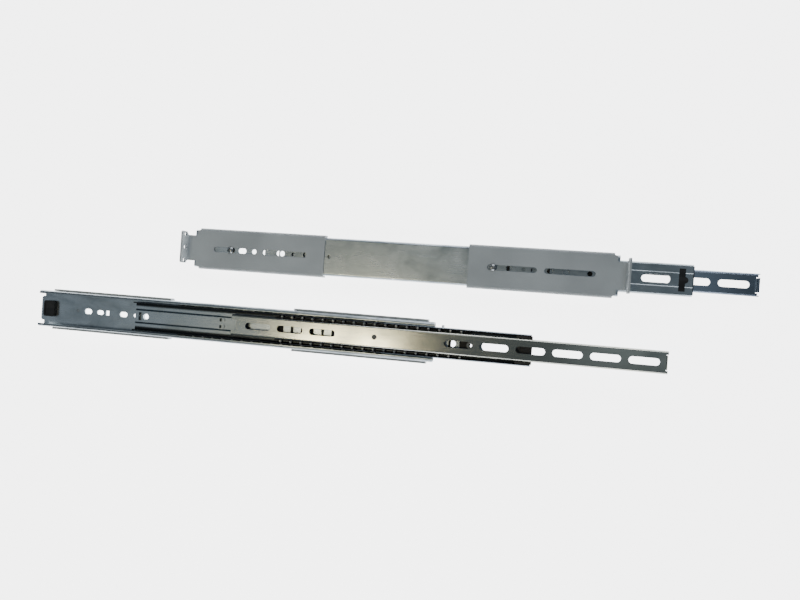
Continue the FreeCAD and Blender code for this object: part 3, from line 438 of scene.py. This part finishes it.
class RAIL_OT_finishes(bpy.types.Operator):
    """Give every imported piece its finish"""

    bl_idname = "rail.finishes"
    bl_label = "Finishes"

    def execute(self, context):
        tone = context.scene.rail_finish
        finishes = {
            "outer_zinc": zinc_plated_steel(
                "zinc plated outer", "#7a848a", tone.outer_zinc, "#b6bdc0", 30.0, 0.30),
            # The middle members' dark lines are painted shade, with track grease in the raceway.
            "middle_zinc": zinc_plated_steel(
                "zinc plated middle", "#7f898d", tone.middle_zinc, "#b0b6b8", 40.0, 0.27, greased_and_shaded=True),
            "inner_zinc": zinc_plated_steel(
                "zinc plated inner", "#8f9490", tone.inner_zinc, "#bcbdb2", 52.0, 0.17,
                rack_tone="#8f9aa6"),
            "bracket_enamel": rack_enamel("grey bracket enamel", "#8b9295", tone.enamel, "#9da4a7"),
            "black_plastic": black_acetal("black acetal"),
            "cage_strip": cage_strip("phosphated cage strip"),
            "ball_steel": bearing_steel("bearing steel"),
            "screw_steel": screw_steel("zinc plated screws"),
            "lever_steel": blackened_steel("blackened lever steel"),
        }
        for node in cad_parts.values():
            for holder in node.material_slots:
                name = holder.material.name.split(".")[0]
                if name not in finishes:
                    raise ValueError(f"no finish for {name}")
                holder.material = finishes[name]
        oiled = oiled_rivet("oiled rivet steel")
        for side in SIDES:
            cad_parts[f"{side}_latch_rivet"].material_slots[0].material = oiled
        return {"FINISHED"}


class RAIL_OT_balls(bpy.types.Operator):
    """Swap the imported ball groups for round, polished balls"""

    bl_idname = "rail.balls"
    bl_label = "Bearing balls"

    def execute(self, context):
        size = context.scene.rail_balls
        radius = 0.5 * size.diameter
        for side in SIDES:
            for row, count in BALL_COUNTS.items():
                node = f"{side}_{row}_balls"
                centres = ball_centres(node, count, radius)
                points, faces = sphere_grid(centres, radius, size.around, size.rings)
                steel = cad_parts[node].material_slots[0].material
                piece = new_piece(f"{node}_round", points, faces, steel)
                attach(piece, f"{side}_{row}_cage")
                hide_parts(node)
        return {"FINISHED"}


# ---------------------------------------------------------------- studio

def add_floor():
    """One large square under the rails."""
    half = FLOOR_HALF
    corners = np.array([[-half, -half, 0.0], [half, -half, 0.0], [half, half, 0.0], [-half, half, 0.0]])
    floor = new_piece("studio_floor", corners, [[0, 1, 2, 3]], white_table("white table"), smooth=False)


def add_air():
    """Faint blue-grey light from all round."""
    world = bpy.data.worlds.new("studio air")
    world.use_nodes = True
    air = world.node_tree.nodes["Background"]
    air.inputs["Color"].default_value = linear(AIR_COLOUR)
    air.inputs["Strength"].default_value = AIR_STRENGTH
    bpy.context.scene.world = world


def add_light(name, place, aim, width, height, power, colour):
    """A soft rectangular light that looks from its place to its aim."""
    data = bpy.data.lights.new(name, "AREA")
    data.shape = "RECTANGLE"
    data.size = width
    data.size_y = height
    data.energy = power
    data.color = linear(colour)[:3]
    lamp = bpy.data.objects.new(name, data)
    lamp.location = place
    lamp.rotation_euler = (Vector(place) - Vector(aim)).to_track_quat("Z", "Y").to_euler()
    bpy.context.scene.collection.objects.link(lamp)


def add_camera(focal_length):
    """The camera high over the rails, looking down and a little sideways."""
    data = bpy.data.cameras.new("rail_camera")
    data.lens = focal_length
    data.sensor_width = CAMERA_SENSOR
    data.clip_start = CAMERA_NEAR
    camera = bpy.data.objects.new("rail_camera", data)
    turn = Matrix.Identity(3)
    for axis, degrees in CAMERA_TURNS:
        turn = turn @ Matrix.Rotation(math.radians(degrees), 3, axis)
    camera.rotation_euler = turn.to_euler()
    camera.location = CAMERA_PLACE
    bpy.context.scene.collection.objects.link(camera)
    bpy.context.scene.camera = camera


class RAIL_OT_studio(bpy.types.Operator):
    """Build the floor, the lights and the camera"""

    bl_idname = "rail.studio"
    bl_label = "Studio"

    def execute(self, context):
        size = context.scene.rail_studio
        add_floor()
        add_air()
        # Four lights look straight down and are mirrored in the webs: the key light in the middle of
        # the left rail, the others in its rear end, in the right rail and in the front ends.
        for name, x, y, z, width, height, power, colour in (
            ("soft_key", -0.35, -0.24, 1.25, 0.30, 0.22, size.key_power, "#fff0c8"),
            ("soft_left", -0.98, -0.05, 1.20, 1.05, 0.60, 0.80, "#dce8f4"),
            ("soft_high", -0.10, 0.17, 1.25, 0.30, 0.22, 0.22, "#f4f6f4"),
            ("soft_right", 0.52, 0.10, 1.20, 0.40, 0.50, 0.17, "#dce8f4"),
        ):
            add_light(name, (x, y, z), (x, y, 0.0), width, height, power, colour)
        # Two wide lights to the front and back light the flanges and the bracket ears.
        for name, y in (("soft_front", -1.7), ("soft_back", 1.7)):
            add_light(name, (0.2, y, 1.2), (0.0, 0.0, 0.0), 1.6, 0.8, 20.0, "#f4f6fc")
        add_camera(size.focal_length)
        return {"FINISHED"}


class RAIL_PT_panel(bpy.types.Panel):
    """The steps that dress the rail pair, in order"""

    bl_idname = "RAIL_PT_panel"
    bl_label = "Rail Pair"
    bl_space_type = "VIEW_3D"
    bl_region_type = "UI"
    bl_category = "Rail Pair"

    def draw(self, context):
        for step in STEPS:
            self.layout.operator(step.bl_idname)


STEPS = (RAIL_OT_finishes, RAIL_OT_balls, RAIL_OT_studio)
SETTINGS = {
    "rail_finish": RailFinishSettings,
    "rail_balls": RailBallSettings,
    "rail_studio": RailStudioSettings,
}


def register():
    """Registers the classes and hangs the settings on the scene."""
    for kind in (*SETTINGS.values(), *STEPS, RAIL_PT_panel):
        bpy.utils.register_class(kind)
    for name, kind in SETTINGS.items():
        setattr(bpy.types.Scene, name, bpy.props.PointerProperty(type=kind))


def unregister():
    """Undoes register, in the opposite order."""
    for name in SETTINGS:
        delattr(bpy.types.Scene, name)
    for kind in (RAIL_PT_panel, *reversed(STEPS), *SETTINGS.values()):
        bpy.utils.unregister_class(kind)


def main():
    """Runs every step in order."""
    register()
    for step in STEPS:
        group, name = step.bl_idname.split(".")
        getattr(getattr(bpy.ops, group), name)()
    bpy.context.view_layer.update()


if __name__ == "__main__":
    main()
